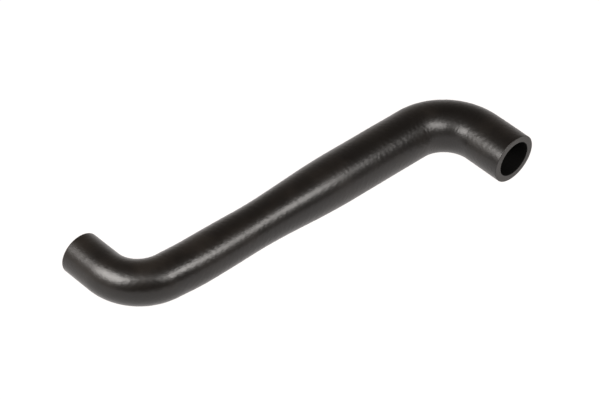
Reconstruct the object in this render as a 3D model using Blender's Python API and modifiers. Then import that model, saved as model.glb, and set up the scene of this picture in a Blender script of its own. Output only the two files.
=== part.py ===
"""Moulded coolant bypass hose with an elbow at each end and a taper between its two bores.

The centreline lies in one plane. From the small mouth it goes straight, round the small elbow,
along a short neck, through an easy bend, along the straight run, round the large elbow to the
other side, and straight to the large mouth. The straight run points along +X. The taper from
the small bore to the large one is part of the straight run, and the wall is even all along.
The finished hose lies as it comes to rest, with the middle of its footprint at the origin.

Units are metres, and degrees for turns. +Z is up.
"""

import math

import bmesh
import bpy
import numpy as np
from mathutils import Vector
from mathutils.geometry import intersect_point_tri

# Section
SMALL_BORE = 0.019
LARGE_BORE = 0.025
WALL = 0.005
CUT_EDGE_ROUNDING = 0.0004

# Stretches of the centreline, from the small mouth to the large mouth
SMALL_END = 0.0231
SMALL_ELBOW_RADIUS = 0.0305
SMALL_ELBOW_TURN = 80.4
NECK = 0.0107
EASY_BEND_RADIUS = 0.154
EASY_BEND_TURN = 4.5
SMALL_RUN = 0.0363
TAPER = 0.0792
LARGE_RUN = 0.062
LARGE_ELBOW_RADIUS = 0.034
LARGE_ELBOW_TURN = 86.6
LARGE_END = 0.0289

# From the small end to a short way into the taper, the hose is fuller by up to this much on its radius
SWELL = 0.00065
SWELL_INTO_TAPER = 0.027

# Fineness of the mesh
SIDES = 32
TURN_PER_RING = 7.5
LENGTH_PER_RING = 0.009

RUBBER_COLOUR = (0.014, 0.0135, 0.0125, 1.0)
RUBBER_ROUGHNESS = 0.5


def clear_scene():
    """Remove every object that the opened file holds."""
    for old in list(bpy.data.objects):
        bpy.data.objects.remove(old, do_unlink=True)


def straight(length, rings=1):
    """A straight stretch: its length, its turn and the number of rings that it adds."""
    return length, 0.0, rings


def bend(radius, turn):
    """A bent stretch, turning left where turn is positive, with a ring every few degrees."""
    rings = math.ceil(abs(turn) / TURN_PER_RING)
    return radius * math.radians(abs(turn)), math.radians(turn), rings


def rings_along(length):
    """Rings for a straight stretch whose thickness changes."""
    return math.ceil(length / LENGTH_PER_RING)


def centreline():
    """Centres of the rings, and how far along the hose each one lies.

    The walk goes chord by chord. A chord that spans a turn points half that turn further than
    the heading before it, and is shorter than its arc by the sine of half the turn over half
    the turn.
    """
    stretches = (
        straight(SMALL_END),
        bend(SMALL_ELBOW_RADIUS, SMALL_ELBOW_TURN),
        straight(NECK),
        bend(EASY_BEND_RADIUS, EASY_BEND_TURN),
        straight(SMALL_RUN, rings_along(SMALL_RUN)),
        straight(TAPER, rings_along(TAPER)),
        straight(LARGE_RUN),
        bend(LARGE_ELBOW_RADIUS, -LARGE_ELBOW_TURN),
        straight(LARGE_END),
    )
    steps = [(length / rings, turn / rings) for length, turn, rings in stretches for _ in range(rings)]
    lengths, turns = np.array(steps).T
    first_heading = -math.radians(SMALL_ELBOW_TURN + EASY_BEND_TURN)
    headings = first_heading + np.cumsum(turns) - turns / 2
    chords = lengths * np.sinc(turns / math.tau)
    moves = np.column_stack((chords * np.cos(headings), chords * np.sin(headings), 0 * chords))
    centres = np.vstack((np.zeros(3), np.cumsum(moves, axis=0)))
    along = np.concatenate(((0.0,), np.cumsum(lengths)))
    return centres, along


def outer_radius(along):
    """Outer radius of the hose at each distance along it.

    The taper eases in and out as a smooth step. The swell rises and falls once between the
    small end and its place in the taper, as the square of a sine.
    """
    taper_start = (
        SMALL_END
        + SMALL_ELBOW_RADIUS * math.radians(SMALL_ELBOW_TURN)
        + NECK
        + EASY_BEND_RADIUS * math.radians(EASY_BEND_TURN)
        + SMALL_RUN
    )
    share = np.clip((along - taper_start) / TAPER, 0, 1)
    step = share * share * (3 - 2 * share)
    swell_end = taper_start + SWELL_INTO_TAPER
    swollen = np.clip((along - SMALL_END) / (swell_end - SMALL_END), 0, 1)
    bore = SMALL_BORE + (LARGE_BORE - SMALL_BORE) * step
    return bore / 2 + WALL + SWELL * np.sin(math.pi * swollen) ** 2


def rubber():
    """Matt to satin black rubber."""
    material = bpy.data.materials.new("hose_rubber")
    material.use_nodes = True
    shader = material.node_tree.nodes["Principled BSDF"]
    shader.inputs["Base Color"].default_value = RUBBER_COLOUR
    shader.inputs["Roughness"].default_value = RUBBER_ROUGHNESS
    shader.inputs["Metallic"].default_value = 0.0
    material.diffuse_color = RUBBER_COLOUR
    return material


def outer_skin(collection):
    """The hose's outside as an open tube, swept along the centreline."""
    centres, along = centreline()
    curve = bpy.data.curves.new("hose_centreline", "CURVE")
    curve.dimensions = "3D"
    curve.twist_mode = "Z_UP"
    curve.bevel_depth = 1.0
    curve.bevel_resolution = (SIDES - 4) // 2
    spline = curve.splines.new("POLY")
    spline.points.add(len(centres) - 1)
    for point, centre, radius in zip(spline.points, centres, outer_radius(along)):
        point.co = (*centre, 1.0)
        point.radius = radius
    swept = bpy.data.objects.new("hose_centreline", curve)
    collection.objects.link(swept)
    depsgraph = bpy.context.evaluated_depsgraph_get()
    skin = bpy.data.meshes.new_from_object(swept.evaluated_get(depsgraph))
    skin.name = "hose"
    hose = bpy.data.objects.new("hose", skin)
    hose.matrix_world = swept.matrix_world
    collection.objects.link(hose)
    bpy.data.objects.remove(swept, do_unlink=True)
    skin.shade_smooth()
    skin.set_sharp_from_angle(angle=math.radians(30))
    return hose


def add_wall(hose):
    """Thicken the skin inwards to the bore, and round the edges of the two cut ends a little."""
    wall = hose.modifiers.new("wall", "SOLIDIFY")
    wall.thickness = WALL
    wall.offset = -1.0
    wall.use_even_offset = True
    wall.use_rim = True
    edges = hose.modifiers.new("cut_edges", "BEVEL")
    edges.width = CUT_EDGE_ROUNDING
    edges.segments = 2
    edges.limit_method = "ANGLE"
    edges.angle_limit = math.radians(60)
    edges.harden_normals = True


def balance_point(mesh):
    """Centre of mass of a closed mesh, from the signed tetrahedra between the origin and its triangles."""
    mesh.calc_loop_triangles()
    corners = np.array([[mesh.vertices[i].co for i in face.vertices] for face in mesh.loop_triangles])
    volumes = np.einsum("ij,ij->i", corners[:, 0], np.cross(corners[:, 1], corners[:, 2])) / 6
    centres = corners.sum(axis=1) / 4
    return Vector(volumes @ centres / volumes.sum())


def lay_down(hose):
    """Turn and lift the hose so that it rests on a flat surface at z = 0, centred on the origin.

    It can rest on a face of its convex hull whose triangle has the centre of mass straight over
    it. Of those faces, it is laid on the one that faces down the most.
    """
    depsgraph = bpy.context.evaluated_depsgraph_get()
    solid = bpy.data.meshes.new_from_object(hose.evaluated_get(depsgraph))
    balance = balance_point(solid)
    hull = bmesh.new()
    hull.from_mesh(solid)
    bpy.data.meshes.remove(solid)
    found = bmesh.ops.convex_hull(hull, input=hull.verts, use_existing_faces=False)
    faces = [part for part in found["geom"] if isinstance(part, bmesh.types.BMFace)]
    hull.normal_update()
    seats = [face for face in faces if intersect_point_tri(balance, *(v.co for v in face.verts))]
    seat = min(seats, key=lambda face: face.normal.z)
    turn = seat.normal.rotation_difference(Vector((0, 0, -1)))
    corners = np.array([turn @ vert.co for vert in hull.verts])
    hull.free()
    low, high = corners.min(axis=0), corners.max(axis=0)
    hose.rotation_mode = "QUATERNION"
    hose.rotation_quaternion = turn
    hose.location = (-(low[0] + high[0]) / 2, -(low[1] + high[1]) / 2, -low[2])


def main():
    clear_scene()
    collection = bpy.data.collections.new("coolant_bypass_hose")
    bpy.context.scene.collection.children.link(collection)
    hose = outer_skin(collection)
    hose.data.materials.append(rubber())
    add_wall(hose)
    lay_down(hose)


main()
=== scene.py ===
"""Looks of the moulded coolant bypass hose: its fine rubber surface and the studio round it.

The file is laid out as an add-on and run as a script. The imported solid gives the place, and the
hose's own sizes give one fine closed surface: the cover, the two cut ends and the bore. Lengths
are metres and angles are radians, and +Z is up.
"""

import math

import bpy
import numpy as np
from bpy.props import FloatProperty, FloatVectorProperty, IntProperty, PointerProperty
from bpy.types import Operator, Panel, PropertyGroup
from mathutils import Matrix, Vector


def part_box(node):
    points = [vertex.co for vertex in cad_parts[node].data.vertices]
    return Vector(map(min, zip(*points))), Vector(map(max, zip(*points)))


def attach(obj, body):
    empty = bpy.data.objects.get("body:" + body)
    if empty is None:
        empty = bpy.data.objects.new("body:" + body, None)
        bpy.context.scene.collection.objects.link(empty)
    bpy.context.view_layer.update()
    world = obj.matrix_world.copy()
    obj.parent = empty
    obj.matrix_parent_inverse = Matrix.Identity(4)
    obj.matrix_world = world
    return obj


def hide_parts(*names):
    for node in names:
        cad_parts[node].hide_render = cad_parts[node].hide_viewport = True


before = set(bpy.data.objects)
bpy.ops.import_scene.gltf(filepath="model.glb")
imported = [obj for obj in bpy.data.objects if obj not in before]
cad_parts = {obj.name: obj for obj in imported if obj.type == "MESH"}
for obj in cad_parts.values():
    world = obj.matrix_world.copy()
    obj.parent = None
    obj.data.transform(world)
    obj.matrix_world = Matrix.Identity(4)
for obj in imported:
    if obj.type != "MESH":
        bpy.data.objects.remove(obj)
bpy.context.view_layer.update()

bl_info = {
    "name": "Coolant bypass hose",
    "version": (1, 0, 0),
    "blender": (4, 5, 0),
    "location": "3D View > Sidebar > Hose",
    "description": "A moulded rubber coolant hose with two elbows and a taper, in a plain studio",
    "category": "Object",
}

NODE = "hose"
BODY = "root"
PLACE_ON_HOSE = "place_on_hose"

# The point that the lights face
HOSE_MIDDLE = Vector((0, 0, 0.015))


def length(name, description, default):
    """A length property, in metres."""
    return FloatProperty(
        name=name, description=description, default=default, min=0.0, unit="LENGTH", precision=5
    )


def turn(name, description, degrees, low=0.0):
    """An angle property, given here in degrees."""
    default, least = math.radians(degrees), math.radians(low)
    return FloatProperty(name=name, description=description, default=default, min=least, subtype="ANGLE")


def share(name, description, default):
    """A property that runs from 0 to 1."""
    return FloatProperty(
        name=name, description=description, default=default, min=0.0, max=1.0, subtype="FACTOR"
    )


def brightness(name, description, default):
    """A brightness property, where 1 is the white of the picture."""
    return FloatProperty(name=name, description=description, default=default, min=0.0)


def colour(name, description, default):
    """A colour property, in linear light."""
    return FloatVectorProperty(
        name=name, description=description, default=default, size=3, min=0.0, soft_max=1.0, subtype="COLOR"
    )


def position(name, description, default):
    """A place property, in metres."""
    return FloatVectorProperty(
        name=name, description=description, default=default, size=3, subtype="XYZ", unit="LENGTH", precision=4
    )


def extent(name, description, default):
    """The width and height of a flat light, in metres."""
    return FloatVectorProperty(
        name=name, description=description, default=default, size=2, min=0.0, unit="LENGTH", precision=4
    )


class HoseSizes(PropertyGroup):
    """The hose's section and the stretches of its centreline, from the small mouth to the large one."""

    small_bore: length("Small bore", "Bore of the small end", 0.019)
    large_bore: length("Large bore", "Bore of the large end", 0.025)
    wall: length("Wall", "Thickness of the rubber wall", 0.005)
    edge: length("Edge rounding", "Rounding of the edges of the cut ends", 0.0004)
    small_end: length("Small end", "Straight length behind the small mouth", 0.0231)
    small_elbow_radius: length("Small elbow radius", "Radius of the small elbow's centreline", 0.0305)
    small_elbow_turn: turn("Small elbow turn", "How far the small elbow turns", 80.4)
    neck: length("Neck", "Straight length between the small elbow and the easy bend", 0.0107)
    easy_bend_radius: length("Easy bend radius", "Radius of the easy bend's centreline", 0.154)
    easy_bend_turn: turn("Easy bend turn", "How far the easy bend turns", 4.5)
    small_run: length("Small run", "Straight length before the taper", 0.0363)
    taper: length("Taper", "Length over which the bore grows", 0.0792)
    large_run: length("Large run", "Straight length behind the taper", 0.062)
    large_elbow_radius: length("Large elbow radius", "Radius of the large elbow's centreline", 0.034)
    large_elbow_turn: turn("Large elbow turn", "How far the large elbow turns", 86.6)
    large_end: length("Large end", "Straight length behind the large mouth", 0.0289)
    swell: length("Swell", "How much fuller the radius is where the hose swells the most", 0.00065)
    swell_into_taper: length("Swell into taper", "How far into the taper the swell reaches", 0.027)


class CoverFinish(PropertyGroup):
    """The rubber cover: its relief and its shades."""

    course_pitch: length("Course pitch", "Distance between the knitted courses that show through", 0.0038)
    wales: IntProperty(name="Wales", description="Knitted columns round the hose", default=26, min=4)
    small_print: length("Small print", "How far the knit shows through at the small mouth", 0.000002)
    large_print: length("Large print", "How far the knit shows through at the large mouth", 0.000016)
    peel_pitch: length("Peel pitch", "Distance between the bumps of the cover's orange peel", 0.0039)
    small_peel: length("Small peel", "Depth of the orange peel on the small elbow", 0.000010)
    run_peel: length("Run peel", "Depth of the orange peel where the run begins", 0.000032)
    large_peel: length("Large peel", "Depth of the orange peel at the large mouth", 0.000022)
    unevenness: length("Unevenness", "How far the cover wanders from its true radius", 0.00004)
    oval: length("Oval", "How much wider and lower than round the hose is where it is the most oval", 0.00035)
    oval_place: length("Oval place", "How far along the hose is the most oval", 0.108)
    oval_spread: length("Oval spread", "How far the oval reaches along the hose, either way", 0.025)
    rubber: colour("Rubber", "The clean rubber", (0.0044, 0.0034, 0.0027))
    bloom: colour("Bloom", "The faint dusty film on the rubber", (0.0095, 0.0072, 0.0054))
    small_roughness: share("Small end's roughness", "Roughness of the clean cover at the small end", 0.30)
    large_roughness: share("Large end's roughness", "Roughness of the clean cover at the large end", 0.35)
    film_roughness: share("Film roughness", "How much rougher the cover is where the film lies", 0.07)
    refraction: FloatProperty(name="Refraction", description="Index of refraction of the rubber", default=1.5)
    grain_size: length("Grain size", "Size of the cover's grain", 0.0019)
    grain_depth: length("Grain depth", "Depth of the grain", 0.00009)


class CutFinish(PropertyGroup):
    """The cut ends and the bore."""

    cut_rubber: colour("Cut rubber", "The fresh rubber of the cut ends", (0.030, 0.027, 0.024))
    cut_roughness: share("Cut roughness", "Roughness of the cut ends", 0.55)
    score_pitch: length("Score pitch", "Distance between the knife's score marks", 0.0006)
    score_depth: length("Score depth", "Depth of the score marks", 0.00002)
    # The bore's colour is darker than the cover's rubber: painted shade inside the bore
    bore_rubber_with_painted_shade: colour("Bore rubber", "The rubber inside the bore", (0.0016, 0.0014, 0.0012))
    bore_roughness: share("Bore roughness", "Roughness of the bore", 0.75)
    bore_gloss: share("Bore gloss", "How much the bore mirrors, where 0.5 is plain rubber", 0.12)


class StudioSettings(PropertyGroup):
    """The camera, the three soft lights, the floor and the room."""

    azimuth: turn("Azimuth", "Where the camera stands round the hose", -38.861, -180)
    elevation: turn("Elevation", "How high the camera stands over the floor", 43.07)
    roll: turn("Roll", "How far the camera leans", -0.956, -180)
    distance: length("Distance", "From the camera to its aim", 1.27939)
    aim: position("Aim", "The point that the camera looks at", (0.00035, 0.00394, 0.017))
    lens: FloatProperty(name="Lens", description="Focal length", default=120.0, min=1.0, unit="CAMERA")
    left_place: position("Left light", "Where the left light stands", (-0.3985, 0.0492, 0.3241))
    left_size: extent("Left light's size", "Width and height of the left light", (0.3133, 0.2123))
    left_brightness: brightness("Left brightness", "Brightness of the left light", 15.4)
    right_place: position("Right light", "Where the right light stands", (0.0551, -0.3235, 0.3335))
    right_size: extent("Right light's size", "Width and height of the right light", (0.3293, 0.1300))
    right_brightness: brightness("Right brightness", "Brightness of the right light", 14.7)
    front_place: position("Front light", "Where the dim front light stands", (-0.2155, -0.2035, 0.4165))
    front_size: extent("Front light's size", "Width and height of the front light", (0.34, 0.15))
    front_brightness: brightness("Front brightness", "Brightness of the front light", 1.8)
    lamp: colour("Lamp", "Colour of the three lights", (1.0, 0.965, 0.935))
    floor: colour("Floor", "The pale floor", (0.03, 0.03, 0.03))
    glow: colour("Floor glow", "Light that comes up through the floor", (1.05, 1.01, 0.995))
    far_glow: share("Far glow", "Share of the floor's glow that is left far away", 0.78)
    glow_reach: length("Glow reach", "How far the floor's glow is even", 0.29)
    glow_end: length("Glow end", "Where the floor's glow has faded to its far share", 1.1)
    wall_shade: colour("Back wall", "The pale wall behind the hose, at its foot", (0.90, 0.83, 0.78))
    wall_fall: share("Wall's fall", "Height seen over which the wall falls to 0.37 of its light", 0.384)
    front_share: share("Front share", "Brightness of the room at the front, as a share of the wall's", 0.06)


class Signal:
    """A shader socket's value. Arithmetic on it adds the Math nodes that work it out."""

    def __init__(self, sheet, socket):
        self.sheet = sheet
        self.socket = socket

    def __add__(self, other):
        return self.sheet.maths("ADD", self, other)

    def __sub__(self, other):
        return self.sheet.maths("SUBTRACT", self, other)

    def __rsub__(self, other):
        return self.sheet.maths("SUBTRACT", other, self)

    def __mul__(self, other):
        return self.sheet.maths("MULTIPLY", self, other)

    __radd__ = __add__
    __rmul__ = __mul__


# The Mix node's own places for its two colours and for the colour that it gives
COLOUR_A, COLOUR_B, COLOUR_OUT = 6, 7, 2


class NodeSheet:
    """Builds the nodes of one material or world."""

    def __init__(self, owner):
        owner.use_nodes = True
        self.tree = owner.node_tree

    def node(self, kind, settings, values, output=0):
        """Add a node, make its settings, fill its sockets with numbers or signals, and give one output."""
        made = self.tree.nodes.new(kind)
        for name, value in settings.items():
            setattr(made, name, value)
        for key, value in values.items():
            self.fill(made.inputs[key], value)
        return Signal(self, made.outputs[output])

    def fill(self, socket, value):
        """Link a signal to a socket, or set the socket's own value."""
        if isinstance(value, Signal):
            self.tree.links.new(value.socket, socket)
        else:
            socket.default_value = value

    def maths(self, operation, *values):
        """One Math node."""
        return self.node("ShaderNodeMath", {"operation": operation}, dict(enumerate(values)))

    def blend(self, mask, first, second):
        """Colour that goes from the first to the second as the mask goes from 0 to 1."""
        settings = {"data_type": "RGBA"}
        values = {"Factor": mask, COLOUR_A: (*first, 1.0), COLOUR_B: (*second, 1.0)}
        return self.node("ShaderNodeMix", settings, values, COLOUR_OUT)

    def ramp(self, value, low, high):
        """0 below low, 1 above high, and a smooth step between."""
        settings = {"interpolation_type": "SMOOTHSTEP"}
        return self.node("ShaderNodeMapRange", settings, {"Value": value, "From Min": low, "From Max": high})

    def noise(self, vector, size, detail=3.0, roughness=0.5):
        """Noise from 0 to 1 whose grains are about one size across."""
        values = {"Vector": vector, "Scale": 1.0 / size, "Detail": detail, "Roughness": roughness}
        return self.node("ShaderNodeTexNoise", {}, values)

    def bump(self, height, depth):
        """A normal that follows a height from 0 to 1, which stands for depth in metres."""
        values = {"Height": height, "Strength": 1.0, "Distance": depth}
        return self.node("ShaderNodeBump", {}, values)

    def place_on_hose(self):
        """Distance along the hose, and the cosine and sine of the angle round it."""
        return self.node("ShaderNodeAttribute", {"attribute_name": PLACE_ON_HOSE}, {}, "Vector")

    def own_place(self):
        """Place on the piece itself, in metres."""
        return self.node("ShaderNodeTexCoord", {}, {}, "Object")


def new_material(name):
    """A material, the sheet that builds its nodes, and its shader."""
    material = bpy.data.materials.new(name)
    sheet = NodeSheet(material)
    return material, sheet, sheet.tree.nodes["Principled BSDF"]


def dimmed(tint, share_left):
    """A colour with only a share of its light left."""
    return tuple(share_left * part for part in tint)


def centreline(sizes, spacing):
    """Points on the centreline in its own plane: distance along the hose, centre and heading.

    The walk goes chord by chord. A chord that spans a turn points half that turn further than
    the heading before it, and is shorter than its arc by the sine of half the turn over half
    the turn.
    """
    bends = (
        (sizes.small_elbow_radius, sizes.small_elbow_turn),
        (sizes.easy_bend_radius, sizes.easy_bend_turn),
        (sizes.large_elbow_radius, -sizes.large_elbow_turn),
    )
    small_elbow, easy_bend, large_elbow = ((radius * abs(angle), angle) for radius, angle in bends)
    whole_run = sizes.small_run + sizes.taper + sizes.large_run
    straights = (sizes.small_end, sizes.neck, whole_run, sizes.large_end)
    small_end, neck, run, large_end = ((stretch, 0.0) for stretch in straights)
    steps = []
    for stretch, angle in (small_end, small_elbow, neck, easy_bend, run, large_elbow, large_end):
        count = math.ceil(stretch / spacing)
        steps += [(stretch / count, angle / count)] * count
    lengths, turns = np.array(steps).T
    headings = np.concatenate(((0.0,), np.cumsum(turns))) - sizes.small_elbow_turn - sizes.easy_bend_turn
    middles = headings[:-1] + turns / 2
    chords = lengths * np.sinc(turns / math.tau)
    moves = np.column_stack((chords * np.cos(middles), chords * np.sin(middles), 0 * chords))
    centres = np.vstack((np.zeros(3), np.cumsum(moves, axis=0)))
    return np.concatenate(((0.0,), np.cumsum(lengths))), centres, headings


def radii(sizes, along):
    """Bore radius and outer radius at each distance along the hose.

    The taper eases in and out as a smooth step. The swell rises and falls once between the
    small end and its place in the taper, as the square of a sine. The wall is even all along.
    """
    bent = sizes.small_elbow_radius * sizes.small_elbow_turn + sizes.easy_bend_radius * sizes.easy_bend_turn
    taper_start = sizes.small_end + sizes.neck + sizes.small_run + bent
    rise = np.clip((along - taper_start) / sizes.taper, 0, 1)
    bore = (sizes.small_bore + (sizes.large_bore - sizes.small_bore) * rise * rise * (3 - 2 * rise)) / 2
    swell_end = taper_start + sizes.swell_into_taper
    swollen = np.clip((along - sizes.small_end) / (swell_end - sizes.small_end), 0, 1)
    inside = bore + sizes.swell * np.sin(math.pi * swollen) ** 2
    return inside, inside + sizes.wall


# The finishes, in the order of the hose's materials
COVER, CUT, BORE = range(3)

# Metres between the rings of the cover and of the bore
COVER_SPACING = 0.00065
BORE_SPACING = 0.0025

# Points round each ring, steps round each edge, and rings over each cut face
SIDES = 128
EDGE_STEPS = 5
CUT_RINGS = 8


def wall_walk(sizes, whole):
    """The closed line round the wall's section: distance along, radius and finish of each ring.

    It runs along the cover to the large mouth, round that edge, in over the cut face, round the
    inner edge, back along the bore, and out over the small mouth's face in the same way. Each
    edge is a quarter circle. The outer ones have the cover's finish and the inner ones the bore's.
    """
    edge = sizes.edge
    quarter = np.linspace(0, math.pi / 2, EDGE_STEPS + 1)
    small_in, small_out = (float(r[0]) for r in radii(sizes, np.array([0.0])))
    large_in, large_out = (float(r[0]) for r in radii(sizes, np.array([whole])))
    cover = np.linspace(edge, whole - edge, math.ceil(whole / COVER_SPACING))
    bore = np.linspace(whole - edge, edge, math.ceil(whole / BORE_SPACING))
    sine, cosine = edge * np.sin(quarter), edge * np.cos(quarter)
    large_face = np.linspace(large_out - edge, large_in + edge, CUT_RINGS)
    small_face = np.linspace(small_in + edge, small_out - edge, CUT_RINGS)
    legs = (
        (cover, radii(sizes, cover)[1], COVER),
        (whole - edge + sine, large_out - edge + cosine, COVER),
        (np.full(CUT_RINGS, whole), large_face, CUT),
        (whole - edge + cosine, large_in + edge - sine, BORE),
        (bore, radii(sizes, bore)[0], BORE),
        (edge - sine, small_in + edge - cosine, BORE),
        (np.zeros(CUT_RINGS), small_face, CUT),
        (edge - cosine, small_out - edge + sine, COVER),
    )
    along = np.concatenate([leg[0][:-1] for leg in legs])
    radius = np.concatenate([leg[1][:-1] for leg in legs])
    finish = np.concatenate([np.full(len(leg[0]) - 1, leg[2]) for leg in legs])
    return along, radius, finish


# Fewest and most crests that a wave of a field has to a pitch along the hose
WAVE_RANGE = (0.35, 1.35)

# Pitches of the knit's sway and of the unevenness, in metres
SWAY_PITCH = 0.03
UNEVEN_PITCH = 0.035

# How far the courses and the wales sway, in radians of their own waves
COURSE_SWAY = 1.8
WALE_SWAY = 1.5

# Shares of the hose's length at which the orange peel has its three depths
PEEL_STOPS = (0.1, 0.2, 1.0)


def wave_field(along, angle, pitch, most_crests, count, seed):
    """Random bumps about a pitch apart, from -1 to 1 for the most part.

    They are the sum of waves, over the square root of their number. Each wave is a cosine with
    crests at a pace of its own along the hose and a whole number of crests round it, so that
    the field closes on itself.
    """
    draw = np.random.default_rng(seed)
    field = np.zeros(np.broadcast_shapes(along.shape, angle.shape))
    for _ in range(count):
        crests = draw.integers(-most_crests, most_crests + 1)
        run = math.tau / pitch * draw.uniform(*WAVE_RANGE)
        field += np.cos(run * along + crests * angle + draw.uniform(0, math.tau))
    return field / math.sqrt(count)


def cover_relief(cover, along, angle):
    """How far the cover stands out of its true radius at each distance along and angle round.

    The knit is courses along the hose times wales round it. Both sway a little, and they show
    more and more towards the large mouth. The orange peel is a field of small bumps that is
    faint on the small elbow, and the unevenness is a field of long, low ones. The oval is the
    cosine of twice the angle, under a bell curve along the hose.
    """
    growth = along / along.max()
    course_sway = COURSE_SWAY * wave_field(along, angle, SWAY_PITCH, most_crests=4, count=6, seed=1)
    courses = np.cos(math.tau * along / cover.course_pitch + course_sway)
    wale_sway = WALE_SWAY * wave_field(along, angle, SWAY_PITCH, most_crests=3, count=6, seed=5)
    wales = np.cos(cover.wales * angle + wale_sway)
    knit = (cover.small_print + (cover.large_print - cover.small_print) * growth) * courses * wales
    peel_depth = np.interp(growth, PEEL_STOPS, (cover.small_peel, cover.run_peel, cover.large_peel))
    peel = peel_depth * wave_field(along, angle, cover.peel_pitch, most_crests=26, count=40, seed=3)
    low = cover.unevenness / 2 * wave_field(along, angle, UNEVEN_PITCH, most_crests=2, count=6, seed=4)
    bell = np.exp(-(((along - cover.oval_place) / cover.oval_spread) ** 2))
    return knit + peel + low + cover.oval * bell * np.cos(2 * angle)


def lying_turn():
    """The turn from the centreline's own plane to the hose at rest.

    The solid is the same on both sides of that plane, so the plane's normal is the axis along
    which its points spread the least. It is the tilt of the vertical to that axis.
    """
    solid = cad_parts[NODE].data
    points = np.empty(3 * len(solid.vertices))
    solid.vertices.foreach_get("co", points)
    points = np.unique(points.reshape(-1, 3).round(decimals=7), axis=0)
    normal = Vector(np.linalg.eigh(np.cov(points.T))[1][:, 0])
    up = Vector((0, 0, 1))
    return up.rotation_difference(normal if normal.z > 0 else -normal).to_matrix()


def lay_down(points):
    """Turn the hose's points to the way that it rests, and move them into the solid's box."""
    laid = points @ np.array(lying_turn()).T
    low, high = laid.min(axis=0), laid.max(axis=0)
    box_low, box_high = (np.array(corner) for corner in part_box(NODE))
    move = (box_low + box_high - low - high) / 2
    move[2] = box_low[2] - low[2]
    return laid + move


def closed_mesh(name, points, finish):
    """A mesh from a grid of points that closes on itself both ways. Its faces point out."""
    rings, sides = points.shape[:2]
    place = np.arange(rings * sides).reshape(rings, sides)
    across = np.roll(place, -1, axis=1)
    corners = (place, across, np.roll(across, -1, axis=0), np.roll(place, -1, axis=0))
    quads = np.stack(corners, axis=-1).reshape(-1, 4)
    mesh = bpy.data.meshes.new(name)
    mesh.vertices.add(rings * sides)
    mesh.vertices.foreach_set("co", points.ravel())
    mesh.loops.add(quads.size)
    mesh.loops.foreach_set("vertex_index", quads.ravel())
    mesh.polygons.add(len(quads))
    mesh.polygons.foreach_set("loop_start", np.arange(len(quads)) * 4)
    mesh.polygons.foreach_set("material_index", np.repeat(finish, sides))
    mesh.update(calc_edges=True)
    mesh.shade_smooth()
    return mesh


def hose_mesh(sizes, cover):
    """The whole hose as one closed surface of two parameters.

    A point is the centre at its distance along, plus its radius times the cosine of the angle
    to the left and the sine of it up. On the cover the relief is added to the radius. Each
    point keeps its distance along and its cosine and sine, for patterns that follow the hose.
    """
    line_along, line_centres, line_headings = centreline(sizes, COVER_SPACING)
    along, radius, finish = wall_walk(sizes, line_along[-1])
    centres = np.column_stack([np.interp(along, line_along, axis) for axis in line_centres.T])
    headings = np.interp(along, line_along, line_headings)
    angle = np.linspace(0, math.tau, SIDES, endpoint=False)[None, :]
    on_cover = np.where(finish == COVER, 1.0, 0.0)
    reach = radius[:, None] + on_cover[:, None] * cover_relief(cover, along[:, None], angle)
    left = np.column_stack((-np.sin(headings), np.cos(headings), 0 * headings))
    up = np.array((0.0, 0.0, 1.0))
    sideways = (reach * np.cos(angle))[..., None] * left[:, None]
    points = centres[:, None] + sideways + (reach * np.sin(angle))[..., None] * up
    laid = lay_down(points.reshape(-1, 3)).reshape(points.shape)
    mesh = closed_mesh("rubber_hose", laid, finish)
    place = np.stack(np.broadcast_arrays(along[:, None], np.cos(angle), np.sin(angle)), axis=-1)
    attribute = mesh.attributes.new(PLACE_ON_HOSE, "FLOAT_VECTOR", "POINT")
    attribute.data.foreach_set("vector", place.astype(np.float32).ravel())
    return mesh


# Sizes of the cover's patches, specks and rub marks and of the cut's specks, in metres
PATCH_SIZE = 0.03
SPECK_SIZE = 0.0022
RUB_SIZE = 0.006
CUT_SPECK_SIZE = 0.0012

# Levels of the patches' noise at which the film starts and is full
FILM_START, FILM_FULL = 0.4, 0.68

# The film's share where it has no specks
PLAIN_FILM = 0.55

# Distances along the hose, in metres, between which the cover grows duller
DULL_START, DULL_END = 0.06, 0.28

# How far noise, which lies round 0.5, changes the roughness of the cover and of the cut and bore
RUB_SWING = 0.08
SPECK_SWING = 0.1

# The darkest shades of the cut and of the bore, as shares of their lightest
CUT_DARKEST = 0.6
BORE_DARKEST = 0.5

# Scale of the score marks' pattern, which draws them out along X
SCORE_STRETCH = (0.08, 1.0, 1.0)

# Size of the bore's marks in the space of distance along, cosine and sine
BORE_MARK_SIZE = 0.1


def cover_material(cover):
    """Black rubber cover with a faint dusty film in patches, faint rub marks and a fine grain.

    Its roughness rises from the small end's to the large end's as a smooth step along the hose.
    """
    material, sheet, shader = new_material("rubber_cover")
    where = sheet.own_place()
    patches = sheet.noise(where, PATCH_SIZE)
    specks = sheet.noise(where, SPECK_SIZE, roughness=0.6)
    film = sheet.ramp(patches, FILM_START, FILM_FULL) * (PLAIN_FILM + (1.0 - PLAIN_FILM) * specks)
    sheet.fill(shader.inputs["Base Color"], sheet.blend(film, cover.rubber, cover.bloom))
    along = sheet.node("ShaderNodeSeparateXYZ", {}, {"Vector": sheet.place_on_hose()}, "X")
    growth = sheet.ramp(along, DULL_START, DULL_END)
    clean = cover.small_roughness + (cover.large_roughness - cover.small_roughness) * growth
    rubs = sheet.noise(where, RUB_SIZE, detail=4.0, roughness=0.65)
    roughness = clean + cover.film_roughness * film + RUB_SWING * (rubs - 0.5)
    sheet.fill(shader.inputs["Roughness"], roughness)
    grain = sheet.noise(where, cover.grain_size, roughness=0.55)
    sheet.fill(shader.inputs["Normal"], sheet.bump(grain, cover.grain_depth))
    shader.inputs["IOR"].default_value = cover.refraction
    return material


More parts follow.
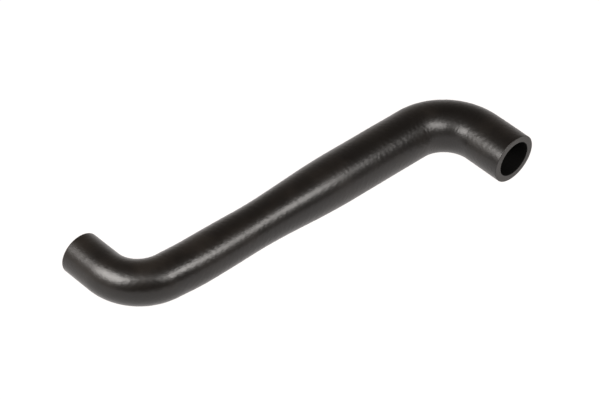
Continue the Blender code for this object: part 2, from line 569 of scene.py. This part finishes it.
def cut_material(cut):
    """Fresh cut rubber: greyer and duller than the cover, with the knife's fine score marks."""
    material, sheet, shader = new_material("cut_rubber")
    where = sheet.own_place()
    specks = sheet.noise(where, CUT_SPECK_SIZE, roughness=0.65)
    darkest = dimmed(cut.cut_rubber, CUT_DARKEST)
    sheet.fill(shader.inputs["Base Color"], sheet.blend(specks, darkest, cut.cut_rubber))
    sheet.fill(shader.inputs["Roughness"], cut.cut_roughness + SPECK_SWING * (specks - 0.5))
    stretched = sheet.node("ShaderNodeMapping", {}, {"Vector": where, "Scale": SCORE_STRETCH})
    scores = sheet.noise(stretched, cut.score_pitch, detail=2.0)
    sheet.fill(shader.inputs["Normal"], sheet.bump(scores, cut.score_depth))
    return material


def bore_material(cut):
    """Dull rubber inside the bore, its colour darkened below the cover's as painted shade, with faint marks
    along it from the mandrel.
    """
    material, sheet, shader = new_material("bore_rubber_with_painted_shade")
    marks = sheet.noise(sheet.place_on_hose(), BORE_MARK_SIZE)
    # Both ends of this blend are darkened as painted shade inside the bore; the marks vary between them
    darkest = dimmed(cut.bore_rubber_with_painted_shade, BORE_DARKEST)
    sheet.fill(shader.inputs["Base Color"], sheet.blend(marks, darkest, cut.bore_rubber_with_painted_shade))
    sheet.fill(shader.inputs["Roughness"], cut.bore_roughness + SPECK_SWING * (marks - 0.5))
    shader.inputs["Specular IOR Level"].default_value = cut.bore_gloss
    return material


def show(name, data):
    """Put data into the scene as an object at the origin."""
    made = bpy.data.objects.new(name, data)
    bpy.context.scene.collection.objects.link(made)
    return made


class HOSE_OT_rubber_hose(Operator):
    """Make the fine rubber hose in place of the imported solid"""

    bl_idname = "hose.rubber_hose"
    bl_label = "Rubber hose"

    def execute(self, context):
        scene = context.scene
        hose = show("rubber_hose", hose_mesh(scene.hose_sizes, scene.hose_cover))
        hose.data.materials.append(cover_material(scene.hose_cover))
        hose.data.materials.append(cut_material(scene.hose_cut))
        hose.data.materials.append(bore_material(scene.hose_cut))
        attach(hose, BODY)
        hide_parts(NODE)
        return {"FINISHED"}


def direction(azimuth, elevation):
    """Unit vector towards a place round the hose. Azimuth 0 is towards -Y, and 90 degrees towards +X."""
    level = math.cos(elevation)
    return Vector((math.sin(azimuth) * level, -math.cos(azimuth) * level, math.sin(elevation)))


def facing(place, back, roll=0.0):
    """Matrix of a camera or light at a place, which looks away from back and leans by roll."""
    level = Vector((0, 0, 1)).cross(back).normalized()
    right = level * math.cos(roll) + back.cross(level) * math.sin(roll)
    return Matrix.Translation(place) @ Matrix((right, back.cross(right), back)).transposed().to_4x4()


def camera(studio):
    """The camera at the photograph's angle."""
    data = bpy.data.cameras.new("camera")
    data.lens = studio.lens
    made = show("camera", data)
    back = direction(studio.azimuth, studio.elevation)
    made.matrix_world = facing(Vector(studio.aim) + studio.distance * back, back, studio.roll)
    return made


def soft_light(name, spot, size, level, tint):
    """A soft rectangular light that faces the hose.

    A rectangle's power is pi times its area times the brightness of its face.
    """
    data = bpy.data.lights.new(name, "AREA")
    data.shape = "RECTANGLE"
    data.size, data.size_y = size
    data.energy = math.pi * size[0] * size[1] * level
    data.color = tint
    made = show(name, data)
    back = Vector(spot) - HOSE_MIDDLE
    made.matrix_world = facing(spot, back.normalized())
    made.visible_camera = False


# Half the floor's width in metres, and its roughness
FLOOR_HALF = 8.0
FLOOR_ROUGHNESS = 0.9

# Where the room goes from its front to its wall, in the sideways part of the direction seen
FRONT_EDGE, WALL_EDGE = -0.4, 0.4


def floor(studio):
    """A wide pale floor at z = 0 that glows as a light table does, a little less far away."""
    corners = [(FLOOR_HALF * x, FLOOR_HALF * y, 0) for x, y in ((-1, -1), (1, -1), (1, 1), (-1, 1))]
    mesh = bpy.data.meshes.new("floor")
    mesh.from_pydata(corners, [], [(0, 1, 2, 3)])
    made = show("floor", mesh)
    material, sheet, shader = new_material("pale_floor")
    away = sheet.node("ShaderNodeVectorMath", {"operation": "LENGTH"}, {0: sheet.own_place()}, "Value")
    faded = sheet.ramp(away, studio.glow_reach, studio.glow_end)
    far = dimmed(studio.glow, studio.far_glow)
    sheet.fill(shader.inputs["Emission Color"], sheet.blend(faded, studio.glow, far))
    shader.inputs["Base Color"].default_value = (*studio.floor, 1.0)
    shader.inputs["Roughness"].default_value = FLOOR_ROUGHNESS
    shader.inputs["Specular IOR Level"].default_value = 0.0
    shader.inputs["Emission Strength"].default_value = 1.0
    mesh.materials.append(material)


def room(studio):
    """A pale wall behind the hose and a dim room at the front.

    The brightness is e to the power of minus the height seen over the wall's fall, times a share
    that goes evenly from the front's share to 1 at the wall.
    """
    world = bpy.data.worlds.new("room")
    sheet = NodeSheet(world)
    seen = sheet.node("ShaderNodeTexCoord", {}, {}, "Generated")
    height = sheet.node("ShaderNodeSeparateXYZ", {}, {"Vector": seen}, "Z")
    behind = sheet.node("ShaderNodeSeparateXYZ", {}, {"Vector": seen}, "Y")
    fall = sheet.maths("EXPONENT", -1.0 / studio.wall_fall * sheet.maths("MAXIMUM", height, 0.0))
    edges = {"Value": behind, "From Min": FRONT_EDGE, "From Max": WALL_EDGE, "To Min": studio.front_share}
    side = sheet.node("ShaderNodeMapRange", {}, edges)
    background = sheet.tree.nodes["Background"]
    sheet.fill(background.inputs["Strength"], fall * side)
    background.inputs["Color"].default_value = (*studio.wall_shade, 1.0)
    bpy.context.scene.world = world


class HOSE_OT_studio(Operator):
    """Make the floor, the room, the three soft lights and the camera"""

    bl_idname = "hose.studio"
    bl_label = "Studio"

    def execute(self, context):
        studio = context.scene.hose_studio
        floor(studio)
        room(studio)
        soft_light("left_light", studio.left_place, studio.left_size, studio.left_brightness, studio.lamp)
        soft_light("right_light", studio.right_place, studio.right_size, studio.right_brightness, studio.lamp)
        soft_light("front_light", studio.front_place, studio.front_size, studio.front_brightness, studio.lamp)
        context.scene.camera = camera(studio)
        context.scene.view_settings.view_transform = "Standard"
        return {"FINISHED"}


class HOSE_PT_sidebar(Panel):
    """The hose's pieces and their settings"""

    bl_label = "Coolant bypass hose"
    bl_space_type = "VIEW_3D"
    bl_region_type = "UI"
    bl_category = "Hose"

    def draw(self, context):
        for operator in (HOSE_OT_rubber_hose, HOSE_OT_studio):
            self.layout.operator(operator.bl_idname)
        for name, kind in SETTINGS.items():
            box = self.layout.box()
            for field in kind.__annotations__:
                box.prop(getattr(context.scene, name), field)


SETTINGS = {
    "hose_sizes": HoseSizes,
    "hose_cover": CoverFinish,
    "hose_cut": CutFinish,
    "hose_studio": StudioSettings,
}
CLASSES = (*SETTINGS.values(), HOSE_OT_rubber_hose, HOSE_OT_studio, HOSE_PT_sidebar)


def register():
    for kind in CLASSES:
        bpy.utils.register_class(kind)
    for name, kind in SETTINGS.items():
        setattr(bpy.types.Scene, name, PointerProperty(type=kind))


def unregister():
    for name in SETTINGS:
        delattr(bpy.types.Scene, name)
    for kind in reversed(CLASSES):
        bpy.utils.unregister_class(kind)


def main():
    register()
    bpy.ops.hose.rubber_hose()
    bpy.ops.hose.studio()


if __name__ == "__main__":
    main()
